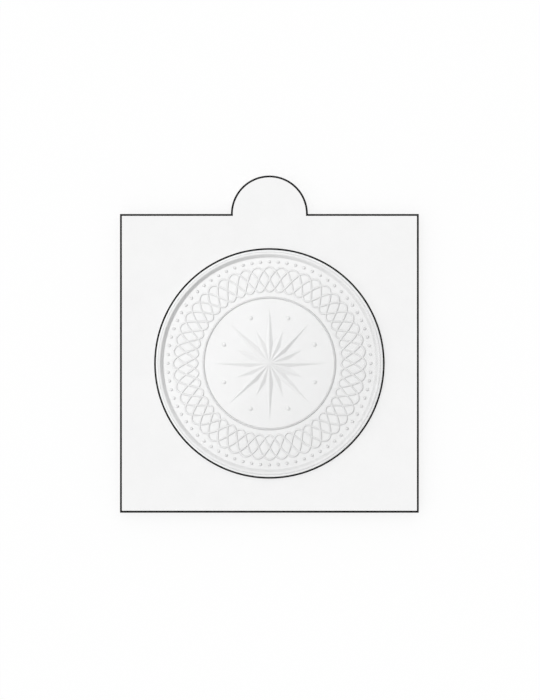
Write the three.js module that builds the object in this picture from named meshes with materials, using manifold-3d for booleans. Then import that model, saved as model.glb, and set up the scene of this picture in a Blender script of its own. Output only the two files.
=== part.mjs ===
// Staple coin holder: one card blank folded in half, a round window in each panel, a clear
// polyester film bonded behind each window, a half-round lift tab on the front panel, and a
// coin lying between the two films.
// Millimetres, +Z up. The origin lies on the windows' axis, on the plane the holder rests on.
// +Y runs from the fold to the tab, and +Z out of the front panel.
import * as THREE from 'three';
import { mergeVertices } from 'three/addons/utils/BufferGeometryUtils.js';
import Module from 'manifold-3d';

const wasm = await Module();
wasm.setup();

// Card blank
const CARD_SIDE = 42.7;
const CARD_THICKNESS = 0.5;
const WINDOW_DIAMETER = 32.5;
const TAB_RADIUS = 5.5;
const CUT_EDGE_BEVEL = 0.28; // chamfer that the die leaves round the outline of an outer face
const WINDOW_BEVEL = 0.2; // and round the window
const SCORE_DEPTH = 0.1; // groove pressed along the outside of the fold
const SCORE_ANGLE = 140; // degrees of the bend that the score takes up

// Film windows
const FILM_THICKNESS = 0.05;
const FILM_MARGIN = 1.3; // bare card left round the film
const FILM_CORNER_RADIUS = 0.2; // where the film turns over the coin's rim
const FILM_WALL_GAP = 0.03; // from the film's wall to the edge of the window
const BOND_THICKNESS = 0.03;
const BOND_SETBACK = 0.35; // the bond stops this far short of the window
const COVER_GAP = 0.04; // air between the two films when the holder is shut

// Coin
const COIN_THICKNESS = 2.2;
const COIN_EDGE_GAP = 0.16; // from the coin's edge to the edge of the window
const COIN_PLAY = 0.05; // from the coin to the film, at its faces and its edge
const COIN_EDGE_CHAMFER = 0.12;
const RIM_WIDTH = 0.25;
const RIM_SLOPE = 0.62; // width of the slope from the rim down to the field
const FIELD_DEPTH = 0.28; // field below the rim
const REED_COUNT = 96;
const REED_DEPTH = 0.1;
const BEAD_COUNT = 72;
const BEAD_RADIUS = 0.24;
const BEAD_GAP = 0.6; // from the foot of the rim's slope to the middle of the beads
const RING_RADIUS = 9.2; // raised line round the star
const RING_WIDTH = 0.4;
const RELIEF_HEIGHT = 0.16; // beads, ring and star above the field
const STAR_RAYS = 16;
const STAR_LONG_RAY = 8.2;
const STAR_SHORT_RAY = 5.2;
const STAR_WAIST = 2.8; // where neighbouring rays meet

// Faces of round forms
const ROUND_SEGMENTS = 72;
const WINDOW_DIVISIONS = 36; // half of the faces round a window or a tab
const FOLD_SEGMENTS = 32;
const CORNER_DIVISIONS = 2;
const BEAD_SIDES = 8;
const BEAD_RINGS = 2;

// What the sizes above give
const halfSide = CARD_SIDE / 2;
const windowRadius = WINDOW_DIAMETER / 2;
const filmInner = COVER_GAP / 2; // heights above the middle plane, which both halves share
const filmOuter = filmInner + FILM_THICKNESS;
const cardInner = filmOuter + BOND_THICKNESS;
const cardOuter = cardInner + CARD_THICKNESS;
const pocketHalf = COIN_THICKNESS / 2 + COIN_PLAY;
const domeHalf = pocketHalf + FILM_THICKNESS;
const middleHeight = Math.max(domeHalf, cardOuter); // the lower half reaches down to z = 0
const foldCentre = -halfSide + cardOuter - SCORE_DEPTH; // y of the bend's centre and of the panels' ends
const coinRadius = windowRadius - COIN_EDGE_GAP;
const pocketRadius = coinRadius + COIN_PLAY;
const flatRadius = pocketRadius - FILM_CORNER_RADIUS;
const fieldHalf = COIN_THICKNESS / 2 - FIELD_DEPTH;
const slopeFoot = coinRadius - COIN_EDGE_CHAMFER - RIM_WIDTH - RIM_SLOPE;

const OVERSHOOT = 1; // how far a cutting solid runs past what it cuts
const SINK = 0.05; // how far a raised form reaches into what carries it
const MERGE_TOLERANCE = 1e-5;

const card = new THREE.MeshStandardMaterial({ color: 0xf6f6f6, roughness: 0.9, metalness: 0 });
const film = new THREE.MeshStandardMaterial({
  color: 0xf4f8fa, roughness: 0.08, metalness: 0, transparent: true, opacity: 0.15,
});
const bond = new THREE.MeshStandardMaterial({
  color: 0xfcfaf8, roughness: 0.4, metalness: 0, transparent: true, opacity: 0.85,
});
const silver = new THREE.MeshStandardMaterial({ color: 0xededed, roughness: 0.35, metalness: 0.9 });

// Solids

/** A closed three.js geometry as a manifold solid. */
function solidOf(geometry) {
  const bare = geometry.clone();
  bare.deleteAttribute('normal');
  bare.deleteAttribute('uv');
  const merged = mergeVertices(bare, MERGE_TOLERANCE);
  return new wasm.Manifold(new wasm.Mesh({
    numProp: 3,
    vertProperties: new Float32Array(merged.attributes.position.array),
    triVerts: new Uint32Array(merged.index.array),
  }));
}

/** A manifold solid as a named three.js mesh. */
function meshOf(solid, name, material) {
  const { vertProperties, triVerts } = solid.getMesh();
  const geometry = new THREE.BufferGeometry();
  geometry.setAttribute('position', new THREE.BufferAttribute(vertProperties, 3));
  geometry.setIndex(new THREE.BufferAttribute(triVerts, 1));
  geometry.computeVertexNormals();
  const mesh = new THREE.Mesh(geometry, material);
  mesh.name = name;
  return mesh;
}

/** A box between two corners. */
function boxSolid(low, high) {
  const size = new THREE.Vector3().subVectors(high, low);
  const centre = new THREE.Vector3().addVectors(low, high).multiplyScalar(0.5);
  return solidOf(new THREE.BoxGeometry(size.x, size.y, size.z).translate(centre.x, centre.y, centre.z));
}

/** Pairs of numbers as points. */
function pointsOf(pairs) {
  return pairs.map(([x, y]) => new THREE.Vector2(x, y));
}

/** A profile of (radius, height) points, listed from the bottom up, turned about Z. */
function turned(profile, segments = ROUND_SEGMENTS) {
  return new THREE.LatheGeometry(profile, segments).rotateX(Math.PI / 2);
}

/** A flat shape raised from one height to another. */
function raised(shape, low, high) {
  const settings = { depth: high - low, bevelEnabled: false, curveSegments: WINDOW_DIVISIONS };
  return solidOf(new THREE.ExtrudeGeometry(shape, settings).translate(0, 0, low));
}

// Card panels

/** A panel's outline, running past the fold so that its end can be cut square. */
function panelShape(hasTab) {
  const pastFold = foldCentre - OVERSHOOT;
  const shape = new THREE.Shape();
  shape.moveTo(-halfSide, pastFold);
  shape.lineTo(halfSide, pastFold);
  shape.lineTo(halfSide, halfSide);
  if (hasTab) {
    shape.lineTo(TAB_RADIUS, halfSide);
    shape.absarc(0, halfSide, TAB_RADIUS, 0, Math.PI, false);
  }
  shape.lineTo(-halfSide, halfSide);
  shape.closePath();
  return shape;
}

/** The punch that cuts a window, which widens into the chamfer at the outer face. */
function windowPunch() {
  const below = cardInner - OVERSHOOT;
  const above = cardOuter + OVERSHOOT;
  return solidOf(turned(pointsOf([
    [0, below],
    [windowRadius, below],
    [windowRadius, cardOuter - WINDOW_BEVEL],
    [windowRadius + WINDOW_BEVEL + OVERSHOOT, above],
    [0, above],
  ])));
}

/** A die-cut panel, chamfered round its outer face, plain inside and cut square where the fold begins. */
function panelSolid(hasTab) {
  const cut = new THREE.ExtrudeGeometry(panelShape(hasTab), {
    depth: CARD_THICKNESS,
    bevelEnabled: true,
    bevelThickness: CUT_EDGE_BEVEL,
    bevelSize: CUT_EDGE_BEVEL,
    bevelOffset: -CUT_EDGE_BEVEL,
    bevelSegments: 1,
    curveSegments: WINDOW_DIVISIONS,
  }).translate(0, 0, cardInner - CUT_EDGE_BEVEL);
  const reach = halfSide + TAB_RADIUS + OVERSHOOT;
  const kept = boxSolid(
    new THREE.Vector3(-reach, foldCentre, cardInner),
    new THREE.Vector3(reach, reach, cardOuter + OVERSHOOT),
  );
  return solidOf(cut).intersect(kept).subtract(windowPunch());
}

// Fold

/** A closed profile of (radius, place along X) points, turned about the fold's axis. */
function aroundFold(profile) {
  const closed = pointsOf([...profile, profile[0]]);
  return solidOf(turned(closed, FOLD_SEGMENTS).rotateY(Math.PI / 2));
}

/** The half-round bend that joins the panels, with the score pressed along its outside. */
function foldSolid() {
  const outside = cardOuter + OVERSHOOT;
  const ends = halfSide + OVERSHOOT;
  const bend = aroundFold([
    [cardInner, -halfSide],
    [cardOuter - CUT_EDGE_BEVEL, -halfSide],
    [cardOuter, -halfSide + CUT_EDGE_BEVEL],
    [cardOuter, halfSide - CUT_EDGE_BEVEL],
    [cardOuter - CUT_EDGE_BEVEL, halfSide],
    [cardInner, halfSide],
  ]);
  const skin = aroundFold([
    [cardOuter - SCORE_DEPTH, -ends],
    [outside, -ends],
    [outside, ends],
    [cardOuter - SCORE_DEPTH, ends],
  ]);
  const halfScore = THREE.MathUtils.degToRad(SCORE_ANGLE / 2);
  const sector = new THREE.Shape();
  sector.absarc(0, 0, outside + OVERSHOOT, Math.PI - halfScore, Math.PI + halfScore, false);
  sector.lineTo(0, 0);
  const pastEnds = ends + OVERSHOOT;
  const scoreBand = new THREE.ExtrudeGeometry(sector, { depth: 2 * pastEnds, bevelEnabled: false })
    .translate(0, 0, -pastEnds)
    .rotateX(Math.PI / 2)
    .rotateZ(Math.PI / 2);
  const bendSide = boxSolid(
    new THREE.Vector3(-ends, -outside, -outside),
    new THREE.Vector3(ends, 0, outside),
  );
  return bend.intersect(bendSide).subtract(skin.intersect(solidOf(scoreBand)));
}

// Film and its bond

/** The film's rectangle on the inner face of a panel, with a round hole if one is asked for. */
function filmShape(holeRadius = 0) {
  const side = halfSide - FILM_MARGIN;
  const foldEnd = foldCentre + FILM_MARGIN;
  const shape = new THREE.Shape();
  shape.moveTo(-side, foldEnd);
  shape.lineTo(side, foldEnd);
  shape.lineTo(side, side);
  shape.lineTo(-side, side);
  shape.closePath();
  if (holeRadius > 0) shape.holes.push(new THREE.Path().absarc(0, 0, holeRadius, 0, 2 * Math.PI, true));
  return shape;
}

/** The plug that one side of the formed film follows: drafted wall, rounded corner, flat top. */
function domePlug(footRadius, foot, topRadius, top, cornerRadius) {
  const profile = new THREE.Path();
  profile.moveTo(0, foot);
  profile.lineTo(footRadius, foot);
  profile.lineTo(topRadius, top - cornerRadius);
  profile.absarc(topRadius - cornerRadius, top - cornerRadius, cornerRadius, 0, Math.PI / 2, false);
  profile.lineTo(0, top);
  return solidOf(turned(profile.getPoints(CORNER_DIVISIONS)));
}

/** A flat sheet of film, drawn up through the window over half of the coin. */
function filmSolid() {
  const wallFoot = windowRadius - FILM_WALL_GAP;
  const wallTop = pocketRadius + FILM_THICKNESS;
  const sheet = raised(filmShape(), filmInner, filmOuter);
  const outside = domePlug(
    wallFoot, (filmInner + filmOuter) / 2, wallTop, domeHalf, FILM_CORNER_RADIUS + FILM_THICKNESS,
  );
  const inside = domePlug(
    wallFoot - FILM_THICKNESS, filmInner - OVERSHOOT, pocketRadius, pocketHalf, FILM_CORNER_RADIUS,
  );
  return sheet.add(outside).subtract(inside);
}

/** The flat round face of the film and the rest of it, parted where the film turns over the coin's rim. */
function filmParts() {
  const reach = domeHalf + OVERSHOOT;
  const profile = [[0, -reach], [flatRadius, -reach], [flatRadius, reach], [0, reach]];
  const middle = solidOf(turned(pointsOf(profile)));
  const whole = filmSolid();
  return { face: whole.intersect(middle), skirt: whole.subtract(middle) };
}

function bondSolid() {
  return raised(filmShape(windowRadius + BOND_SETBACK), filmOuter, cardInner);
}

// Coin

/** The struck blank: chamfered edge, raised rim and sunk field, alike on both faces. */
function blankSolid() {
  const half = COIN_THICKNESS / 2;
  const face = [
    [coinRadius, half - COIN_EDGE_CHAMFER],
    [coinRadius - COIN_EDGE_CHAMFER, half],
    [slopeFoot + RIM_SLOPE, half],
    [slopeFoot, fieldHalf],
    [RING_RADIUS + RING_WIDTH, fieldHalf],
    [RING_RADIUS + RING_WIDTH / 2, fieldHalf + RELIEF_HEIGHT],
    [RING_RADIUS, fieldHalf],
    [0, fieldHalf],
  ];
  const back = face.map(([radius, height]) => [radius, -height]).reverse();
  return solidOf(turned(pointsOf([...back, ...face])));
}

/** Three-sided grooves that leave the reeds standing round the coin's edge. */
function reedCutters() {
  const reach = 2 * REED_DEPTH; // from the middle of a groove's section to its corners
  const groove = new THREE.CylinderGeometry(reach, reach, COIN_THICKNESS + OVERSHOOT, 3)
    .rotateX(Math.PI / 2)
    .rotateZ(-Math.PI / 2)
    .translate(coinRadius + REED_DEPTH, 0, 0);
  return Array.from({ length: REED_COUNT }, (_, i) => (
    solidOf(groove.clone().rotateZ((i / REED_COUNT) * 2 * Math.PI))
  ));
}

/** Beads standing in a ring inside the rim. */
function beadSolids() {
  const bead = new THREE.SphereGeometry(BEAD_RADIUS, BEAD_SIDES, BEAD_RINGS)
    .rotateX(Math.PI / 2)
    .scale(1, 1, RELIEF_HEIGHT / BEAD_RADIUS)
    .translate(slopeFoot - BEAD_GAP, 0, fieldHalf);
  return Array.from({ length: BEAD_COUNT }, (_, i) => (
    solidOf(bead.clone().rotateZ((i / BEAD_COUNT) * 2 * Math.PI))
  ));
}

/** A star of faceted rays, long and short in turn, falling from a raised centre into the field. */
function starSolid() {
  const corners = 2 * STAR_RAYS;
  const foot = fieldHalf - SINK;
  const spread = (RELIEF_HEIGHT + SINK) / RELIEF_HEIGHT; // the facets leave the field at the rays' lengths
  const rayLength = (ray) => (ray % 2 === 0 ? STAR_LONG_RAY : STAR_SHORT_RAY);
  const rim = Array.from({ length: corners }, (_, i) => {
    const angle = (i / corners) * 2 * Math.PI;
    const radius = spread * (i % 2 === 0 ? rayLength(i / 2) : STAR_WAIST);
    return [radius * Math.cos(angle), radius * Math.sin(angle)];
  });
  const top = [0, 0, fieldHalf + RELIEF_HEIGHT];
  const base = [0, 0, foot];
  const vertices = [...rim.map(([x, y]) => [x, y, foot]), top, base].flat();
  const faces = rim.flatMap((_, i) => {
    const next = (i + 1) % corners;
    return [i, next, corners, next, i, corners + 1];
  });
  const geometry = new THREE.BufferGeometry();
  geometry.setAttribute('position', new THREE.Float32BufferAttribute(vertices, 3));
  geometry.setIndex(faces);
  return solidOf(geometry);
}

/** The coin with its reeds, and the same relief on both faces. */
function coinSolid() {
  const relief = wasm.Manifold.union([starSolid(), ...beadSolids()]);
  const under = relief.rotate([180, 0, 0]);
  const cutters = wasm.Manifold.union(reedCutters());
  return blankSolid().subtract(cutters).add(relief).add(under);
}

// Assembly

/** One half of the holder, built outwards from the middle plane. */
function half(side, hasTab) {
  const group = new THREE.Group();
  const { face, skirt } = filmParts();
  group.add(
    meshOf(panelSolid(hasTab), `${side}_panel`, card),
    meshOf(bondSolid(), `${side}_film_bond`, bond),
    meshOf(skirt, `${side}_film_skirt`, film),
    meshOf(face, `${side}_film_face`, film),
  );
  group.position.z = middleHeight;
  return group;
}

const front = half('front', true);
const back = half('back', false);
back.rotation.y = Math.PI;

const fold = meshOf(foldSolid(), 'fold_strip', card);
fold.position.set(0, foldCentre, middleHeight);

const coin = meshOf(coinSolid(), 'coin', silver);
coin.position.z = middleHeight;

const holder = new THREE.Group();
holder.add(back, front, fold, coin);

export default holder;
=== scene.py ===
"""Staple coin holder: one folded card with a clear film in each window, and a coin between the films.

Metres, +Z up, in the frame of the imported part. The holder lies shut on its back film, with the fold
towards -Y and the lift tab towards +Y.
"""

import bmesh
import bpy
import numpy as np
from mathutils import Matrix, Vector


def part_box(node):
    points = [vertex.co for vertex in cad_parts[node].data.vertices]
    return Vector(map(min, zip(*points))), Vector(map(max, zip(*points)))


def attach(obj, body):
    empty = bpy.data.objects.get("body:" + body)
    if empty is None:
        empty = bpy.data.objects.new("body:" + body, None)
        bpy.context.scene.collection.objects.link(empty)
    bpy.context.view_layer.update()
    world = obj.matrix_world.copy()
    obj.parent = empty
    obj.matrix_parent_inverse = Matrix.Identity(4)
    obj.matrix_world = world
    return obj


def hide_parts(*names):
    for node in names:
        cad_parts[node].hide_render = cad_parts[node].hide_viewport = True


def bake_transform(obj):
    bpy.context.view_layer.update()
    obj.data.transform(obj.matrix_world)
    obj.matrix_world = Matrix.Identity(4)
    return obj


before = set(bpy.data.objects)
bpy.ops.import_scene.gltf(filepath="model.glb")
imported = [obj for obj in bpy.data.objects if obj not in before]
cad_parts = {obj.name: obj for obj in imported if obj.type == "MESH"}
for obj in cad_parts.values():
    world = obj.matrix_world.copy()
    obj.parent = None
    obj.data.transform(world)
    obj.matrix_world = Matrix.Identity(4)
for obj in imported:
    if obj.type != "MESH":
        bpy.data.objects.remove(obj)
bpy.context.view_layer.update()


# Back panel: the lower half of one blank of white board, die-cut square with a round window in it.
# The board is two white liners on a black core, and the die leaves a chamfer round each cut edge of the
# outer face, where the core shows as a dark line.
MM = 0.001
window_radius = 16.25 * MM
cut_bevel = 0.28 * MM
window_bevel = 0.22 * MM
liner = 0.06 * MM
side_steps = 120
merge_distance = 1e-4 * MM
mottle_detail = 4.0
mottle_roughness = 0.6
mottle_low, mottle_high = 0.3, 0.7
cloud_scale = 250.0
board_tone = (0.932, 0.952)
grain_scale = 5200.0
grain_tone = (0.985, 1.0)
grain_height = 0.012 * MM
grain_strength = 0.6
core_scale = 4000.0
core_tone = (0.008, 0.02)
board_roughness = 0.85
board_gloss = 0.12
back_low, back_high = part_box("back_panel")
front_low, front_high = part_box("front_panel")
half_side = back_high.x
free_edge = back_high.y
fold_line = back_low.y
middle = (back_high.z + front_low.z) / 2
card_inner = front_low.z - middle
card_outer = front_high.z - middle


def surface(points, wrap_rows=False, wrap_columns=False, mark=0.0, smooth=True):
    """Quads over a (rows, columns, 3) grid of points, with a mark and a shading for each quad.

    Quad (i, j) joins points (i, j), (i, j + 1), (i + 1, j + 1) and (i + 1, j). A wrapped direction also
    joins its last line to its first. mark is one number for all quads, or one for each row or each quad."""
    number = np.arange(points[..., 0].size).reshape(points.shape[:2])
    if wrap_rows:
        number = np.vstack([number, number[:1]])
    if wrap_columns:
        number = np.hstack([number, number[:, :1]])
    quads = np.stack([number[:-1, :-1], number[:-1, 1:], number[1:, 1:], number[1:, :-1]], axis=-1)
    marks = np.broadcast_to(mark, quads.shape[:2]).ravel()
    return {
        "points": points.reshape(-1, 3),
        "quads": quads.reshape(-1, 4),
        "marks": marks,
        "smooth": np.full(marks.shape, smooth),
    }


def piece(name, surfaces, material, mark_name="mark", crease=30):
    """One object at the origin made of several surfaces, with each seam and pole merged to one point.

    The marks become a face attribute. Edges where faces meet at more than crease degrees stay sharp."""
    starts = np.cumsum([0] + [len(part["points"]) for part in surfaces[:-1]])
    points, marks, smooth = (
        np.concatenate([part[key] for part in surfaces]) for key in ("points", "marks", "smooth")
    )
    quads = np.concatenate([part["quads"] + start for part, start in zip(surfaces, starts)])
    mesh = bpy.data.meshes.new(name)
    mesh.from_pydata(points, [], quads)
    mesh.polygons.foreach_set("use_smooth", smooth)
    mesh.attributes.new(mark_name, "FLOAT", "FACE").data.foreach_set("value", marks.astype(np.float32))
    shape = bmesh.new()
    shape.from_mesh(mesh)
    bmesh.ops.remove_doubles(shape, verts=shape.verts, dist=merge_distance)
    bmesh.ops.recalc_face_normals(shape, faces=shape.faces)
    shape.to_mesh(mesh)
    shape.free()
    shading = np.empty(len(mesh.polygons), dtype=bool)
    mesh.polygons.foreach_get("use_smooth", shading)
    mesh.set_sharp_from_angle(angle=np.radians(crease))
    mesh.polygons.foreach_set("use_smooth", shading)
    mesh.materials.append(material)
    made = bpy.data.objects.new(name, mesh)
    bpy.context.scene.collection.objects.link(made)
    return made


def run(start, end, steps):
    """Even steps along a straight line from start, stopping one step short of end."""
    share = np.arange(steps)[:, None] / steps
    return np.array(start) + share * (np.array(end) - np.array(start))


def outline(inset, tab_radius):
    """Points round a panel, counter-clockwise from the fold's left end, drawn in by inset except there.

    A tab is an arc of radius tab_radius - inset about the middle of the free edge. At both ends it runs
    asin(inset / radius) past a half circle, where it meets the drawn-in edge."""
    right = half_side - inset
    top = free_edge - inset
    if tab_radius:
        radius = tab_radius - inset
        dip = np.arcsin(inset / radius)
        angle = np.linspace(-dip, np.pi + dip, side_steps, endpoint=False)
        root = radius * np.cos(dip)
        far_side = [
            run((right, top), (root, top), side_steps),
            np.column_stack([radius * np.cos(angle), free_edge + radius * np.sin(angle)]),
            run((-root, top), (-right, top), side_steps),
        ]
    else:
        far_side = [run((right, top), (-right, top), side_steps)]
    return np.concatenate([
        run((-right, fold_line), (right, fold_line), side_steps),
        run((right, fold_line), (right, top), side_steps),
        *far_side,
        run((-right, top), (-right, fold_line), side_steps),
    ])


def panel(side, tab_radius=0.0):
    """A panel as a closed loop of eight rings, four round its outline and four round its window.

    They lie at the inner face, the liner, the foot of the chamfer and the outer face. side is 1 for the half
    above the middle plane and -1 below it. Window points lie on the same bearings as outline points. The
    mark is 1 where the core shows."""
    edge = outline(0.0, tab_radius)
    face_edge = outline(cut_bevel, tab_radius)
    bearing = np.arctan2(edge[:, 1], edge[:, 0])
    circle = np.column_stack([np.cos(bearing), np.sin(bearing)])
    wall = window_radius * circle
    face_ring = (window_radius + window_bevel) * circle
    rings = [
        (wall, card_inner), (edge, card_inner),
        (edge, card_inner + liner), (edge, card_outer - cut_bevel),
        (face_edge, card_outer), (face_ring, card_outer),
        (wall, card_outer - window_bevel), (wall, card_inner + liner),
    ]
    core_shows = np.array([0, 0, 1, 1, 0, 1, 1, 0])
    points = np.stack([np.insert(flat, 2, middle + side * height, axis=1) for flat, height in rings])
    return surface(points, wrap_rows=True, wrap_columns=True, mark=core_shows[:, None])


def add(tree, kind, inputs=None, **settings):
    """A shader node of that kind with these settings, each input given a value or linked to a socket."""
    made = tree.nodes.new(kind)
    for name, value in settings.items():
        setattr(made, name, value)
    for name, value in (inputs or {}).items():
        if isinstance(value, bpy.types.NodeSocket):
            tree.links.new(value, made.inputs[name])
        else:
            made.inputs[name].default_value = value
    return made


def worked_out(tree, operation, *values, clamp=False):
    """The result of a Math node on values and sockets."""
    made = add(tree, "ShaderNodeMath", dict(enumerate(values)), operation=operation, use_clamp=clamp)
    return made.outputs["Value"]


def mottle_group():
    """Node group: a cloudy value between Low and High, in patches of about 1 / Scale metres.

    Noise from mottle_low to mottle_high is spread over that range."""
    group = bpy.data.node_groups.new("Mottle", "ShaderNodeTree")
    for name in ("Scale", "Low", "High"):
        group.interface.new_socket(name, in_out="INPUT", socket_type="NodeSocketFloat")
    group.interface.new_socket("Value", in_out="OUTPUT", socket_type="NodeSocketFloat")
    given = group.nodes.new("NodeGroupInput").outputs
    place = add(group, "ShaderNodeTexCoord").outputs["Object"]
    noise = add(group, "ShaderNodeTexNoise", {
        "Vector": place, "Scale": given["Scale"], "Detail": mottle_detail, "Roughness": mottle_roughness,
    })
    spread = add(group, "ShaderNodeMapRange", {
        "Value": noise.outputs["Fac"], "From Min": mottle_low, "From Max": mottle_high,
        "To Min": given["Low"], "To Max": given["High"],
    })
    result = group.nodes.new("NodeGroupOutput")
    group.links.new(spread.outputs["Result"], result.inputs["Value"])
    return group


mottle = mottle_group()


def mottled(tree, scale, low, high):
    """A Mottle group's value in a material's tree."""
    made = add(tree, "ShaderNodeGroup", {"Scale": scale, "Low": low, "High": high}, node_tree=mottle)
    return made.outputs["Value"]


def new_material(name):
    """A node material, with its tree and its Principled shader."""
    made = bpy.data.materials.new(name)
    made.use_nodes = True
    return made, made.node_tree, made.node_tree.nodes["Principled BSDF"]


def roughened(tree, shader, height, distance, strength):
    """Bends a shader's normal by a bump of that height, where 1 stands distance out of the surface."""
    bump = add(tree, "ShaderNodeBump", {"Strength": strength, "Distance": distance, "Height": height})
    tree.links.new(bump.outputs["Normal"], shader.inputs["Normal"])


def board_material():
    """Matt white board: faint clouds, a fibre grain in colour and height, and the core where it shows."""
    made, tree, shader = new_material("white_board")
    clouds = mottled(tree, cloud_scale, *board_tone)
    grain = mottled(tree, grain_scale, *grain_tone)
    face = worked_out(tree, "MULTIPLY", clouds, grain)
    core = mottled(tree, core_scale, *core_tone)
    shows = add(tree, "ShaderNodeAttribute", attribute_name="core").outputs["Fac"]
    colour = add(tree, "ShaderNodeMix", {"Factor": shows, "A": face, "B": core}).outputs["Result"]
    tree.links.new(colour, shader.inputs["Base Color"])
    roughened(tree, shader, grain, grain_height, grain_strength)
    shader.inputs["Roughness"].default_value = board_roughness
    shader.inputs["Specular IOR Level"].default_value = board_gloss
    return made


board = board_material()
back_panel = piece("back_card", [panel(-1)], board, mark_name="core")
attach(back_panel, "back_half")
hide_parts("back_panel")


# Fold: the strip of the same blank between the panels, bent round into a tight half circle.
# A score pressed along its outside cuts through the white liner, so the core shows along the fold.
# The real strip opens out flat as the front half swings over. Here it is built bent round, as the holder lies
# shut.
score_depth = 0.1 * MM
score_angle = np.radians(140)
bend_steps = 48


def fold():
    """A section swept along X: the outer arc with its score, then the inner arc back, about the bend.

    At both ends the outer arc is drawn in for the cut's chamfer, by cut_bevel at the panels, falling with
    |cos(turn)| to the score's depth half way round, and a flat cap closes the section."""
    turn = np.linspace(0.0, np.pi, bend_steps + 1)
    arc = np.column_stack([-np.sin(turn), -np.cos(turn)])
    scored = np.abs(turn - np.pi / 2) < score_angle / 2
    stations = np.array([-half_side, -half_side + cut_bevel, half_side - cut_bevel, half_side])
    score = np.where(scored, score_depth, 0.0)
    chamfer = score_depth + (cut_bevel - score_depth) * np.abs(np.cos(turn))
    outer = card_outer - np.stack([chamfer, score, score, chamfer])
    radius = np.hstack([outer, np.full_like(outer, card_inner)])
    section = radius[..., None] * np.vstack([arc, arc[::-1]])
    along = np.broadcast_to(stations[:, None, None], radius.shape + (1,))
    points = np.concatenate([along, section], axis=-1) + np.array([0.0, fold_line, middle])
    shows = np.zeros((len(stations) - 1, 2 * len(arc)))
    shows[:, :bend_steps] = scored[:-1] | scored[1:]
    shows[[0, -1], :bend_steps] = 1.0
    shell = surface(points, wrap_columns=True, mark=shows)
    caps = [
        surface(np.stack([end[:len(arc)], end[:len(arc) - 1:-1]]), mark=1.0)
        for end in (points[0], points[-1])
    ]
    return [shell, *caps]


strip = piece("fold", fold(), board, mark_name="core")
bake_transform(strip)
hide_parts("fold_strip")


# Front panel: the upper half of the blank, with the same window over the coin.
# Its free edge carries a half-round lift tab, cut in one with it, which stands out past the back panel.
tab_radius = front_high.y - free_edge
front_panel = piece("front_card", [panel(1, tab_radius)], board, mark_name="core")
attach(front_panel, "front_half")
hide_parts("front_panel")


# Film bonds: a thin coat of milky adhesive on the inner face of each panel, under the margin of its film.
# It stops short of the window, and lies thicker in some patches than in others.
bond_low, bond_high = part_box("front_film_bond")
bond_setback = 0.35 * MM
bond_gap = 0.004 * MM
patch_scale = 1200.0
patch_cover = (0.78, 0.92)
adhesive_colour = (0.97, 0.955, 0.935, 1.0)
adhesive_roughness = 0.4
least_share = 1e-9
halves = {"back": -1, "front": 1}
film_steps = 360
film_corners = [np.arctan2(y, x) for x in (bond_low.x, bond_high.x) for y in (bond_low.y, bond_high.y)]
film_bearing = np.union1d(np.linspace(-np.pi, np.pi, film_steps, endpoint=False), film_corners)


def film_edge():
    """How far the film's rectangle reaches from the window's centre on each bearing.

    Along each axis that is the side's distance over the bearing's share of that axis, and the least holds."""
    along = np.stack([np.cos(film_bearing), np.sin(film_bearing)])
    low, high = (np.array(corner[:2])[:, None] for corner in (bond_low, bond_high))
    return np.min(np.where(along > 0, high, -low) / np.maximum(np.abs(along), least_share), axis=0)


def around(radius, bearing, height, side):
    """Points at a radius and bearing about the windows' axis, and a height outwards from the middle plane."""
    radius, bearing, height = np.broadcast_arrays(radius, bearing, height)
    return np.stack([radius * np.cos(bearing), radius * np.sin(bearing), middle + side * height], axis=-1)


def bond(side):
    """A flat ring between a round hole and the film's edge, as a loop of four rings of points."""
    edge = film_edge()
    hole = np.full_like(edge, window_radius + bond_setback)
    inner = bond_low.z - middle + bond_gap
    outer = bond_high.z - middle - bond_gap
    heights = np.array([inner, inner, outer, outer])
    points = around(np.stack([hole, edge, edge, hole]), film_bearing, heights[:, None], side)
    return surface(points, wrap_rows=True, wrap_columns=True)


def adhesive_material():
    """Milky adhesive, faintly warm, which covers the board more in some patches than in others."""
    made, tree, shader = new_material("milky_adhesive")
    shader.inputs["Base Color"].default_value = adhesive_colour
    shader.inputs["Roughness"].default_value = adhesive_roughness
    tree.links.new(mottled(tree, patch_scale, *patch_cover), shader.inputs["Alpha"])
    return made


adhesive = adhesive_material()
for half, side in halves.items():
    layer = piece(f"{half}_adhesive", [bond(side)], adhesive)
    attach(layer, f"{half}_half")
    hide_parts(f"{half}_film_bond")


# Films: a clear polyester sheet behind each window, glued to its panel round the margin.
# The coin has drawn it out into a shallow drum: a flat face, a tight corner round the rim, and a steep wall,
# whitened where it is stretched and gathered into small puckers.
film_thickness = 0.05 * MM
film_wall_gap = 0.03 * MM
film_corner = 0.2 * MM
corner_steps = 8
wall_steps = 8
pucker_count = 72
pucker_depth = 0.012 * MM
film_colour = (0.95, 0.96, 0.96, 1.0)
film_roughness = 0.08
face_on_gloss = 0.04
glancing_power = 5.0
mirror_share = 0.5
stretch_white = 0.92
wall_stretch = 0.4
haze_scale = 160.0
haze = (0.0, 0.02)
wave_scale = 90.0
wave_height = 0.05 * MM
wave_strength = 0.5
face_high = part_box("front_film_face")[1]
film_top = face_high.z - middle
flat_radius = face_high.x


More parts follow.
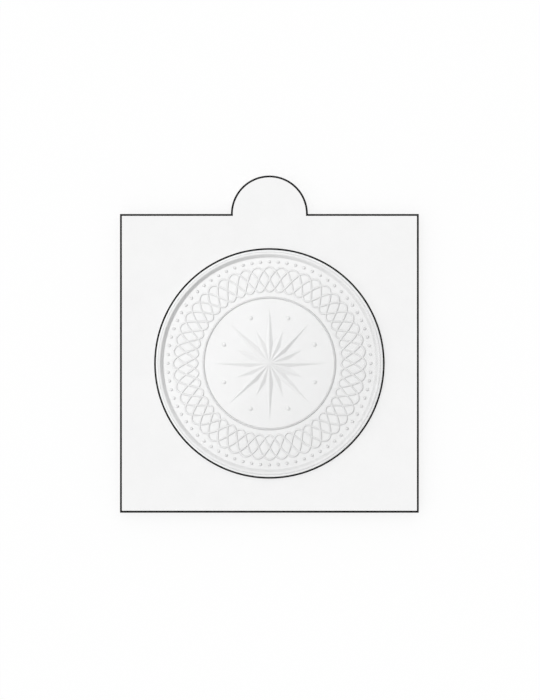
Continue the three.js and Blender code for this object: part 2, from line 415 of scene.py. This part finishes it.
def film_side(offset):
    """Radii and heights of the rings down one side of a film: face, corner, wall and margin.

    offset is 0 on the outside and the film's thickness on the inside. The corner is a quarter circle, and
    the wall a straight line from it to the margin. The wall is drawn in by
    pucker_depth * (1 + cos(pucker_count * bearing)) / 2, times sin(pi * share) down the wall."""
    corner = film_corner + film_thickness - offset
    corner_height = film_top - offset - corner
    foot_radius = window_radius - film_wall_gap - offset
    foot = bond_low.z - middle - bond_gap - offset
    turn = np.linspace(0.0, np.pi / 2, corner_steps + 1)
    share = np.linspace(0.0, 1.0, wall_steps + 1)[1:]
    wall_radius = flat_radius + corner + share * (foot_radius - flat_radius - corner)
    wall_height = corner_height + share * (foot - corner_height)
    face = np.array([0.0, flat_radius / 2])
    face_height = np.full_like(face, film_top - offset)
    radius = np.concatenate([face, flat_radius + corner * np.sin(turn), wall_radius])
    height = np.concatenate([face_height, corner_height + corner * np.cos(turn), wall_height])
    gathered = np.concatenate([np.zeros(len(face) + len(turn)), np.sin(np.pi * share)])
    pucker = pucker_depth * (1 + np.cos(pucker_count * film_bearing)) / 2
    rings = radius[:, None] - gathered[:, None] * pucker
    return np.vstack([rings, film_edge()]), np.append(height, foot)


def film(side):
    """A film as one sheet of rings, down its outside to the margin's edge and back along its inside.

    The mark is 1 on the corner, where the film is stretched most, and falls to wall_stretch down the wall."""
    outer_radius, outer_height = film_side(0.0)
    inner_radius, inner_height = film_side(film_thickness)
    radius = np.vstack([outer_radius, inner_radius[::-1]])
    height = np.concatenate([outer_height, inner_height[::-1]])[:, None]
    down_wall = np.linspace(1.0, wall_stretch, wall_steps)
    stretched = np.concatenate([[0, 0], np.ones(corner_steps), down_wall, [0]])
    marks = np.concatenate([stretched, [0], stretched[::-1]])[:, None]
    return surface(around(radius, film_bearing, height, side), wrap_columns=True, mark=marks)


def film_material():
    """Clear polyester, which mirrors a share of what it doesn't let through and scatters the rest.

    It keeps back face_on_gloss + (1 - face_on_gloss) * facing ** glancing_power, more at a glancing angle,
    with a little haze in patches. Where it is stretched it is white and only scatters. Long low waves bend
    its gloss."""
    made, tree, shader = new_material("clear_film")
    shader.inputs["Base Color"].default_value = film_colour
    shader.inputs["Roughness"].default_value = film_roughness
    stretched = add(tree, "ShaderNodeAttribute", attribute_name="stretched").outputs["Fac"]
    mirror = worked_out(tree, "MULTIPLY_ADD", stretched, -mirror_share, mirror_share)
    tree.links.new(mirror, shader.inputs["Metallic"])
    facing = add(tree, "ShaderNodeLayerWeight").outputs["Facing"]
    glancing = worked_out(tree, "POWER", facing, glancing_power)
    gloss = worked_out(tree, "MULTIPLY_ADD", glancing, 1 - face_on_gloss, face_on_gloss)
    milky = worked_out(tree, "MULTIPLY_ADD", stretched, stretch_white, mottled(tree, haze_scale, *haze))
    kept_back = worked_out(tree, "ADD", gloss, milky, clamp=True)
    tree.links.new(kept_back, shader.inputs["Alpha"])
    roughened(tree, shader, mottled(tree, wave_scale, 0.0, 1.0), wave_height, wave_strength)
    return made


clear_film = film_material()
for half, side in halves.items():
    sheet = piece(f"{half}_window_film", [film(side)], clear_film, mark_name="stretched")
    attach(sheet, f"{half}_half")
    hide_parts(f"{half}_film_skirt", f"{half}_film_face")


# Coin: a struck silver disc lying loose between the films, with a reeded edge and a raised rim.
# Each face has beads inside the rim, an engine-turned band of waving lines, a raised ring and a faceted star.
# The field is smooth and what stands out of it is frosted. The silver's colour is made a little darker on the
# side away from the light, which is painted shade.
coin_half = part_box("coin")[1].z - middle
coin_radius = 16.09 * MM
coin_chamfer = 0.12 * MM
rim_width = 0.25 * MM
rim_fall = 0.02 * MM
rim_steps = 4
rim_slope = 0.62 * MM
rim_frost = 0.5
slope_steps = 16
slope_foot = 0.12
slope_round = 0.35
slope_margin = 0.05 * MM
field_depth = 0.28 * MM
field_half = coin_half - field_depth
rim_foot = coin_radius - coin_chamfer - rim_width - rim_slope
reed_count = 96
reed_depth = 0.1 * MM
reed_steps = 8
relief = 0.16 * MM
sink = 0.03 * MM
star_rays = 16
long_ray = 8.2 * MM
short_ray = 5.2 * MM
star_waist = 2.8 * MM
pellet_count = 8
pellet_ring = 7.0 * MM
pellet_radius = 0.32 * MM
pellet_height = 0.1 * MM
ring_radius = 9.4 * MM
ring_half_width = 0.2 * MM
ring_steps = 360
band_radius = 12.0 * MM
band_swing = 1.75 * MM
band_waves = 12
band_lines = 4
wave_steps = 40
thread_half_width = 0.19 * MM
thread_height = 0.08 * MM
thread_steps = 8
bead_count = 72
bead_gap = 0.6 * MM
bead_ring = rim_foot - bead_gap
bead_radius = 0.24 * MM
dome_sides = 14
dome_steps = 5
tone_scale = 300.0
silver_tone = (0.825, 0.85)
# Painted shade: the coin's colour is darker on its side away from the light, towards the lower right.
painted_shade_share = 0.925
painted_shade_reach = 9.0 * MM
lit_side_bearing = (-0.866, 0.5, 0.0)
smooth_roughness = 0.3
frost_roughness = 0.42
frost_scale = 9000.0
frost_height = 0.005 * MM
frost_strength = 0.4


def coin_blank():
    """The struck disc: rings from the middle of one face over the rim and edge to the middle of the other.

    The slope inside the rim is as steep as min(share / slope_foot, 1, (1 - share) / slope_round) says, scaled
    to the field's depth, and the rim falls by rim_fall * share ** 2 to the chamfer. The edge is drawn in by
    reed_depth * (1 - |sin(reed_count * bearing / 2)|) for the reeds."""
    bearing = np.linspace(0.0, 2 * np.pi, reed_count * reed_steps, endpoint=False)
    share = np.linspace(0.0, 1.0, slope_steps + 1)
    steepness = np.clip(np.minimum(share / slope_foot, (1 - share) / slope_round), 0.0, 1.0)
    climb = np.cumsum(steepness) / np.sum(steepness)
    step = np.arange(1, rim_steps + 1) / rim_steps
    radius = np.concatenate([
        [0.0, rim_foot / 2, rim_foot - slope_margin], rim_foot + rim_slope * share,
        rim_foot + rim_slope + rim_width * step, [coin_radius],
    ])
    height = np.concatenate([
        [field_half, field_half, field_half], field_half + field_depth * climb,
        coin_half - rim_fall * step ** 2, [coin_half - coin_chamfer],
    ])
    radius = np.concatenate([radius, radius[::-1]])[:, None]
    height = np.concatenate([height, -height[::-1]])[:, None]
    groove = reed_depth * (1 - np.abs(np.sin(reed_count * bearing / 2)))
    reach = radius - np.where(radius >= coin_radius, groove, 0.0)
    frosted = (radius[:-1] >= rim_foot) * rim_frost
    return surface(around(reach, bearing, height, 1), wrap_columns=True, mark=frosted)


def line(side, radius, bearing, half_width, height):
    """A rounded line standing on the field along a closed path, given as a radius for each bearing.

    Across it the height is height * (1 + cos(pi * a)) / 2 with a from -1 to 1, measured along the radius and
    stretched by sqrt(1 + slant ** 2) where the path slants. A flat underside closes it below the field."""
    across = np.linspace(-1.0, 1.0, thread_steps + 1)[:, None]
    slant = np.gradient(radius, bearing) / radius
    reach = radius + across * half_width * np.sqrt(1 + slant ** 2)
    rise = height * (1 + np.cos(np.pi * across)) / 2
    top = field_half + np.where(np.abs(across) < 1, rise, -sink)
    return surface(around(reach, bearing, top, side), wrap_rows=True, wrap_columns=True, mark=1.0)


def plain_ring(side):
    """A raised ring of even radius round the star."""
    bearing = np.linspace(0.0, 2 * np.pi, ring_steps, endpoint=False)
    return line(side, np.full_like(bearing, ring_radius), bearing, ring_half_width, relief)


def waving_band(side):
    """Lines of radius band_radius + band_swing * sin(band_waves * bearing + phase), phases evenly spread.

    Their points lie half a step off the crossings, so that no two lines share a point."""
    steps = band_waves * wave_steps
    bearing = (np.arange(steps) + 0.5) * 2 * np.pi / steps
    paths = [
        band_radius + band_swing * np.sin(band_waves * bearing + 2 * np.pi * turn / band_lines)
        for turn in range(band_lines)
    ]
    return [line(side, path, bearing, thread_half_width, thread_height) for path in paths]


def beads(side, ring, count, size, height, phase=0.0):
    """A ring of flattened beads: half ellipsoids standing on the field, closed below it."""
    place = (np.arange(count) + phase) * 2 * np.pi / count
    turn = np.linspace(0.0, 2 * np.pi, dome_sides, endpoint=False)
    tilt = np.linspace(0.0, np.pi / 2, dome_steps + 1)[:, None]
    out = np.vstack([size * np.sin(tilt), [[0.0]]])
    top = field_half + np.vstack([height * np.cos(tilt[:-1]), [[-sink], [-sink]]])
    dome = around(out, turn, top, side)
    centres = np.column_stack([ring * np.cos(place), ring * np.sin(place), np.zeros(count)])
    return [surface(dome + centre, wrap_columns=True, mark=1.0) for centre in centres]


def star(side):
    """A faceted star: a fan from its raised centre to tips and waists in turn, closed by the same fan below.

    The facets leave the field at the rays' lengths and run on below it, so the fan is wider than the star."""
    corner = np.arange(2 * star_rays)
    tips = np.where(corner % 4 == 0, long_ray, short_ray)
    radius = np.where(corner % 2 == 0, tips, star_waist) * (relief + sink) / relief
    bearing = corner * np.pi / star_rays
    heights = field_half + np.array([relief, -sink, -sink])
    centre = np.zeros_like(radius)
    fans = around(np.stack([centre, radius, centre]), bearing, heights[:, None], side)
    return surface(fans, wrap_columns=True, mark=1.0, smooth=False)


def coin_face(side):
    """All that stands out of the field on one face."""
    return [
        star(side),
        *beads(side, pellet_ring, pellet_count, pellet_radius, pellet_height, phase=0.5),
        plain_ring(side),
        *waving_band(side),
        *beads(side, bead_ring, bead_count, bead_radius, relief),
    ]


def silver_material():
    """Struck silver: a smooth field and frosted relief, cloudy, with painted shade on the side away from the
    light.

    The painted shade falls from 1 on the side towards the light to its least share on the other side, in a
    smooth step that starts and ends at its reach from the middle."""
    made, tree, shader = new_material("struck_silver")
    shader.inputs["Metallic"].default_value = 1.0
    place = add(tree, "ShaderNodeTexCoord").outputs["Object"]
    # Painted shade: the colour grows darker away from the light's side of the coin.
    aside = add(tree, "ShaderNodeVectorMath", {0: place, 1: lit_side_bearing}, operation="DOT_PRODUCT")
    painted_shade = add(tree, "ShaderNodeMapRange", {
        "Value": aside.outputs["Value"], "From Min": -painted_shade_reach, "From Max": painted_shade_reach,
        "To Min": painted_shade_share, "To Max": 1.0,
    }, interpolation_type="SMOOTHSTEP").outputs["Result"]
    tone_and_shade = worked_out(tree, "MULTIPLY", mottled(tree, tone_scale, *silver_tone), painted_shade)
    tree.links.new(tone_and_shade, shader.inputs["Base Color"])
    frosted = add(tree, "ShaderNodeAttribute", attribute_name="frosted").outputs["Fac"]
    rough = add(tree, "ShaderNodeMix", {"Factor": frosted, "A": smooth_roughness, "B": frost_roughness})
    tree.links.new(rough.outputs["Result"], shader.inputs["Roughness"])
    frost = worked_out(tree, "MULTIPLY", mottled(tree, frost_scale, 0.0, 1.0), frosted)
    roughened(tree, shader, frost, frost_height, frost_strength)
    return made


coin_surfaces = [coin_blank(), *coin_face(1), *coin_face(-1)]
coin = piece("struck_coin", coin_surfaces, silver_material(), mark_name="frosted", crease=35)
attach(coin, "loose_coin")
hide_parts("coin")


# Studio: a white floor under the holder, and a soft white sky that is brightest high up and darker towards
# the lower right of the picture. The camera looks straight down through a long lens, at the drawing's scale.
white = (1.0, 1.0, 1.0, 1.0)
floor_reach = 2.0
floor_white = 0.8
floor_drop = 0.02 * MM
zenith_light = 1.24
horizon_light = 0.88
light_slope = 0.77
shade_slope = 0.55
light_bearing = (-0.866, 0.5, 0.0)
pixels_per_mm = 7.0
picture_pixels = np.array([540.0, 700.0])
window_pixel = np.array([269.4, 363.4])
lens = 300.0
sensor = 36.0


def floor_material():
    """A matt white floor that the camera, metal and film see mostly as plain white, with a faint shadow."""
    made, tree, shader = new_material("white_floor")
    shader.inputs["Base Color"].default_value = white
    shader.inputs["Roughness"].default_value = 1.0
    shader.inputs["Specular IOR Level"].default_value = 0.0
    ray = add(tree, "ShaderNodeLightPath").outputs
    mirrored = worked_out(tree, "ADD", ray["Is Glossy Ray"], ray["Is Transmission Ray"])
    shown = worked_out(tree, "ADD", ray["Is Camera Ray"], mirrored, clamp=True)
    share = worked_out(tree, "MULTIPLY", shown, floor_white)
    glow = add(tree, "ShaderNodeEmission", {"Color": white, "Strength": 1.0})
    mixed = add(tree, "ShaderNodeMixShader", {
        0: share, 1: shader.outputs["BSDF"], 2: glow.outputs["Emission"],
    })
    tree.links.new(mixed.outputs["Shader"], tree.nodes["Material Output"].inputs["Surface"])
    return made


def sky():
    """A white world whose strength is horizon + up * (zenith - horizon + light * lean - shade * |lean|).

    up is a direction's height, no less than 0, and lean is how far it leans towards light_bearing."""
    made = bpy.data.worlds.new("sky")
    made.use_nodes = True
    tree = made.node_tree
    looking = add(tree, "ShaderNodeTexCoord").outputs["Generated"]
    leaning = add(tree, "ShaderNodeVectorMath", {0: looking, 1: light_bearing}, operation="DOT_PRODUCT")
    lean = leaning.outputs["Value"]
    climb = add(tree, "ShaderNodeSeparateXYZ", {"Vector": looking}).outputs["Z"]
    up = worked_out(tree, "MAXIMUM", climb, 0.0)
    lit = worked_out(tree, "MULTIPLY_ADD", lean, light_slope, zenith_light - horizon_light)
    aside = worked_out(tree, "ABSOLUTE", lean)
    shaded = worked_out(tree, "MULTIPLY_ADD", aside, -shade_slope, lit)
    strength = worked_out(tree, "MULTIPLY_ADD", up, shaded, horizon_light)
    tree.links.new(strength, tree.nodes["Background"].inputs["Strength"])
    tree.nodes["Background"].inputs["Color"].default_value = white
    return made


floor_sides = np.array([-floor_reach, floor_reach])
floor_corners = np.stack(np.meshgrid(floor_sides, floor_sides, [-floor_drop]), axis=-1)[:, :, 0]
floor = piece("floor", [surface(floor_corners)], floor_material())
bpy.context.scene.world = sky()

camera = bpy.data.objects.new("camera", bpy.data.cameras.new("camera"))
bpy.context.scene.collection.objects.link(camera)
camera.data.lens = lens
camera.data.sensor_width = sensor
picture_height = picture_pixels[1] / pixels_per_mm * MM
off_centre = (picture_pixels / 2 - window_pixel) / pixels_per_mm * MM
camera.location = (off_centre[0], -off_centre[1], front_high.z + picture_height * lens / sensor)
bpy.context.scene.camera = camera
bpy.context.scene.view_settings.view_transform = "Standard"
